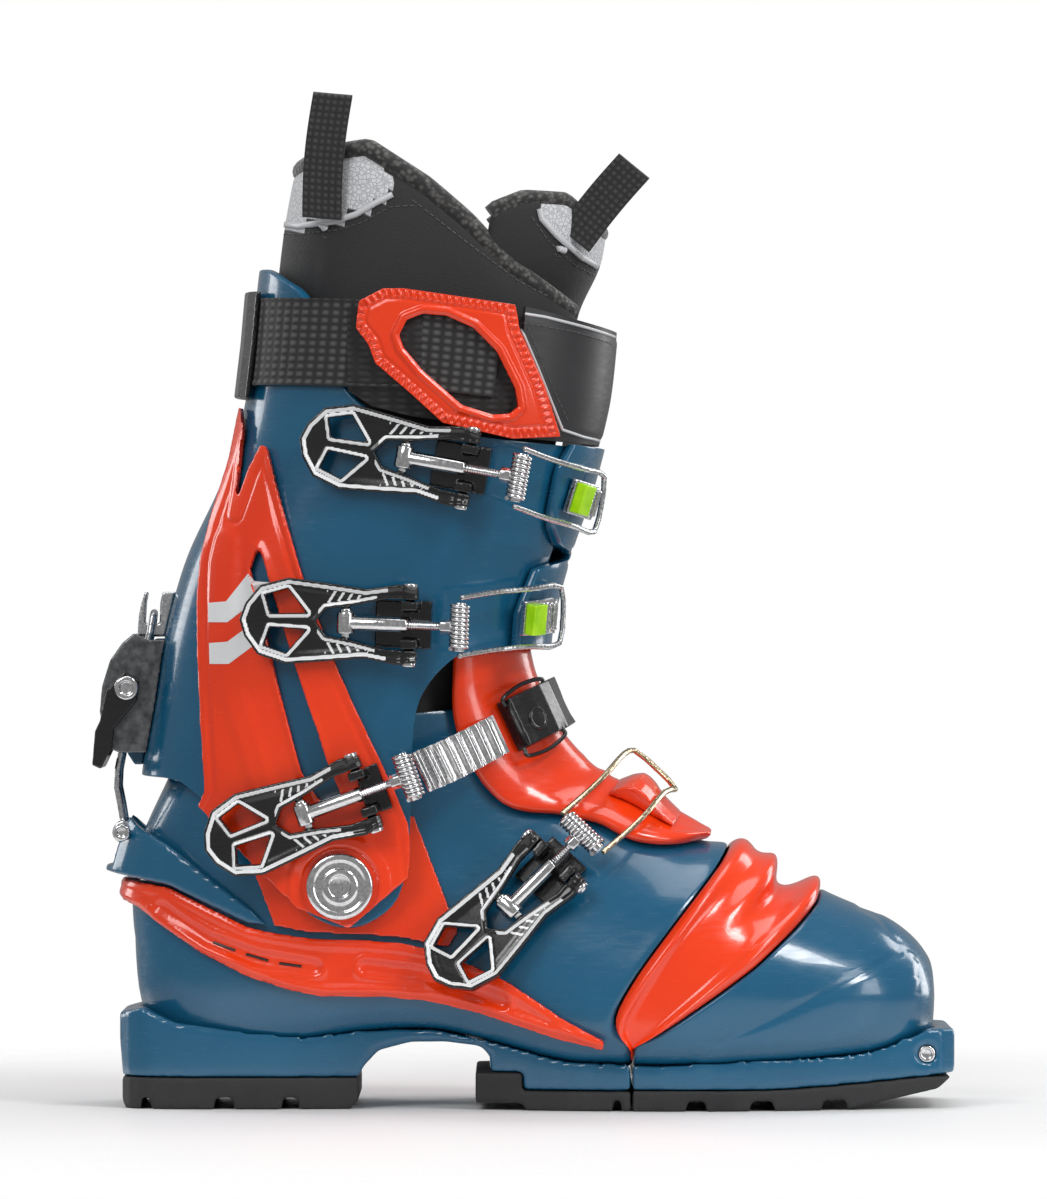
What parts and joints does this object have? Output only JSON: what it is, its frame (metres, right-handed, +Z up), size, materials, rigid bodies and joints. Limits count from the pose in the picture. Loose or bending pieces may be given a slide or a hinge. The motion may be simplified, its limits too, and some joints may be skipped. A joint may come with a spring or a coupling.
{
  "type": "ski touring boot",
  "caption": "Plastic ski boot with a hinged buckled cuff, a flexing toe bellows, a removable liner, a power strap, a walk lever and a lugged sole.",
  "frame": {"origin": "centre of the bounding box in plan, on the ground plane under the sole", "axes": "+X towards the toe, +Y towards the inner side of the foot, +Z up"},
  "size_m": [0.3134, 0.125, 0.3671],
  "materials": {
    "petrol": "glossy moulded polyamide",
    "orange": "glossy moulded polyamide",
    "black_plastic": "satin black",
    "steel": "zinc plated",
    "lime": "translucent",
    "grey_metal": "satin cast",
    "sole_rubber": "matte lugged",
    "webbing": "woven webbing",
    "liner_fabric": "knitted lining cloth over foam"
  },
  "bodies": {
    "shell": {"lower_shell": "petrol", "side_beam": "orange", "ankle_panel_lateral": "orange", "ankle_panel_medial": "orange", "rear_spoiler": "petrol", "spoiler_axle": "steel", "sole_frame_rear": "petrol", "heel_outsole": "sole_rubber", "ball_outsole": "sole_rubber", "boot_board": "black_plastic", "cuff_rivet_lateral": "steel", "cuff_rivet_medial": "steel", "bellows": "orange", "instep_tongue": "orange", "toe_catch": "orange", "instep_catch": "black_plastic", "liner": "liner_fabric", "toe_buckle_base": "steel"},
    "toe": {"toe_shell": "petrol", "sole_frame_toe": "petrol", "toe_outsole": "sole_rubber", "toe_insert_lateral": "steel", "toe_insert_medial": "steel"},
    "cuff": {"cuff_shell": "petrol", "cuff_overlay_lateral": "orange", "cuff_overlay_medial": "orange", "upper_buckle_base": "steel", "lower_buckle_base": "steel", "instep_buckle_base": "steel", "upper_catch": "steel", "upper_catch_block": "lime", "lower_catch": "steel", "lower_catch_block": "lime", "walk_housing": "grey_metal", "walk_hook": "steel", "walk_rack": "petrol", "power_strap": "webbing", "strap_panel": "webbing", "strap_frame": "orange", "strap_keeper": "black_plastic", "liner_tongue": "liner_fabric", "rear_pull_loop": "webbing", "front_pull_loop": "webbing"},
    "upper_lever": {"upper_lever": "black_plastic"},
    "upper_link": {"upper_link": "steel"},
    "upper_bail": {"upper_bail": "steel"},
    "lower_lever": {"lower_lever": "black_plastic"},
    "lower_link": {"lower_link": "steel"},
    "lower_bail": {"lower_bail": "steel"},
    "instep_lever": {"instep_lever": "black_plastic"},
    "instep_link": {"instep_link": "steel", "instep_ladder": "steel"},
    "toe_lever": {"toe_lever": "black_plastic"},
    "toe_link": {"toe_link": "steel"},
    "toe_bail": {"toe_bail": "steel"},
    "walk_lever": {"walk_lever": "black_plastic"},
    "walk_bar": {"walk_bar": "steel"}
  },
  "joints": [
    {"name": "cuff_pivot", "type": "hinge", "parent": "shell", "child": "cuff", "pos_m": [-0.06575, 0.00432, 0.081], "axis": [0, 1, 0], "range_deg": [-10, 0], "deforming": ["liner", "instep_tongue", "instep_ladder"]},
    {"name": "toe_flex", "type": "hinge", "parent": "shell", "child": "toe", "pos_m": [0.03925, 0.00432, 0.024], "axis": [0, -1, 0], "range_deg": [0, 18], "stiffness_Nm_per_rad": 8, "deforming": ["bellows", "liner"]},
    {"name": "walk_lever_flip", "type": "hinge", "parent": "cuff", "child": "walk_lever", "pos_m": [-0.14415, 0.00432, 0.152], "axis": [0, 1, 0], "range_deg": [0, 95]},
    {"name": "walk_bar_swing", "type": "hinge", "parent": "shell", "child": "walk_bar", "pos_m": [-0.14555, 0.00432, 0.0995], "axis": [0, 1, 0], "range_deg": [-12.5, 0]},
    {"name": "upper_lever_hinge", "type": "hinge", "parent": "cuff", "child": "upper_lever", "pos_m": [-0.01997, -0.0566, 0.2312], "axis": [0.1752, -0.0254, 0.9842], "range_deg": [0, 110]},
    {"name": "upper_link_hinge", "type": "hinge", "parent": "upper_lever", "child": "upper_link", "pos_m": [-0.04245, -0.05394, 0.23527], "axis": [0.1752, -0.0254, 0.9842], "range_deg": [-144, 0]},
    {"name": "upper_bail_hinge", "type": "hinge", "parent": "upper_link", "child": "upper_bail", "pos_m": [-0.0014, -0.05881, 0.22784], "axis": [0.1752, -0.0254, 0.9842], "range_deg": [-60, 0]},
    {"name": "lower_lever_hinge", "type": "hinge", "parent": "cuff", "child": "lower_lever", "pos_m": [-0.04058, -0.05545, 0.175], "axis": [0.0346, -0.0388, 0.9986], "range_deg": [0, 110]},
    {"name": "lower_link_hinge", "type": "hinge", "parent": "lower_lever", "child": "lower_link", "pos_m": [-0.06345, -0.0532, 0.17588], "axis": [0.0346, -0.0388, 0.9986], "range_deg": [-144, 0]},
    {"name": "lower_bail_hinge", "type": "hinge", "parent": "lower_link", "child": "lower_bail", "pos_m": [-0.02268, -0.0572, 0.17431], "axis": [0.0346, -0.0388, 0.9986], "range_deg": [-60, 0]},
    {"name": "instep_lever_hinge", "type": "hinge", "parent": "cuff", "child": "instep_lever", "pos_m": [-0.05707, -0.05375, 0.1148], "axis": [-0.34, 0.0056, 0.9404], "range_deg": [0, 110]},
    {"name": "instep_link_hinge", "type": "hinge", "parent": "instep_lever", "child": "instep_link", "pos_m": [-0.07842, -0.05011, 0.10706], "axis": [-0.34, 0.0056, 0.9404], "range_deg": [-144, 0]},
    {"name": "toe_lever_hinge", "type": "hinge", "parent": "shell", "child": "toe_lever", "pos_m": [0.01133, -0.04286, 0.08976], "axis": [-0.7034, 0.2586, 0.6621], "range_deg": [0, 110]},
    {"name": "toe_link_hinge", "type": "hinge", "parent": "toe_lever", "child": "toe_link", "pos_m": [-0.00478, -0.04501, 0.07349], "axis": [-0.7034, 0.2586, 0.6621], "range_deg": [-144, 0]},
    {"name": "toe_bail_hinge", "type": "hinge", "parent": "toe_link", "child": "toe_bail", "pos_m": [0.02149, -0.04151, 0.10002], "axis": [-0.7034, 0.2586, 0.6621], "range_deg": [-60, 0]}
  ],
  "couplings": [
    {"joint": "walk_bar_swing", "follows": "cuff_pivot", "ratio": 1.22},
    {"joint": "upper_link_hinge", "follows": "upper_lever_hinge", "ratio": -1.3},
    {"joint": "lower_link_hinge", "follows": "lower_lever_hinge", "ratio": -1.3},
    {"joint": "instep_link_hinge", "follows": "instep_lever_hinge", "ratio": -1.3},
    {"joint": "toe_link_hinge", "follows": "toe_lever_hinge", "ratio": -1.3}
  ]
}
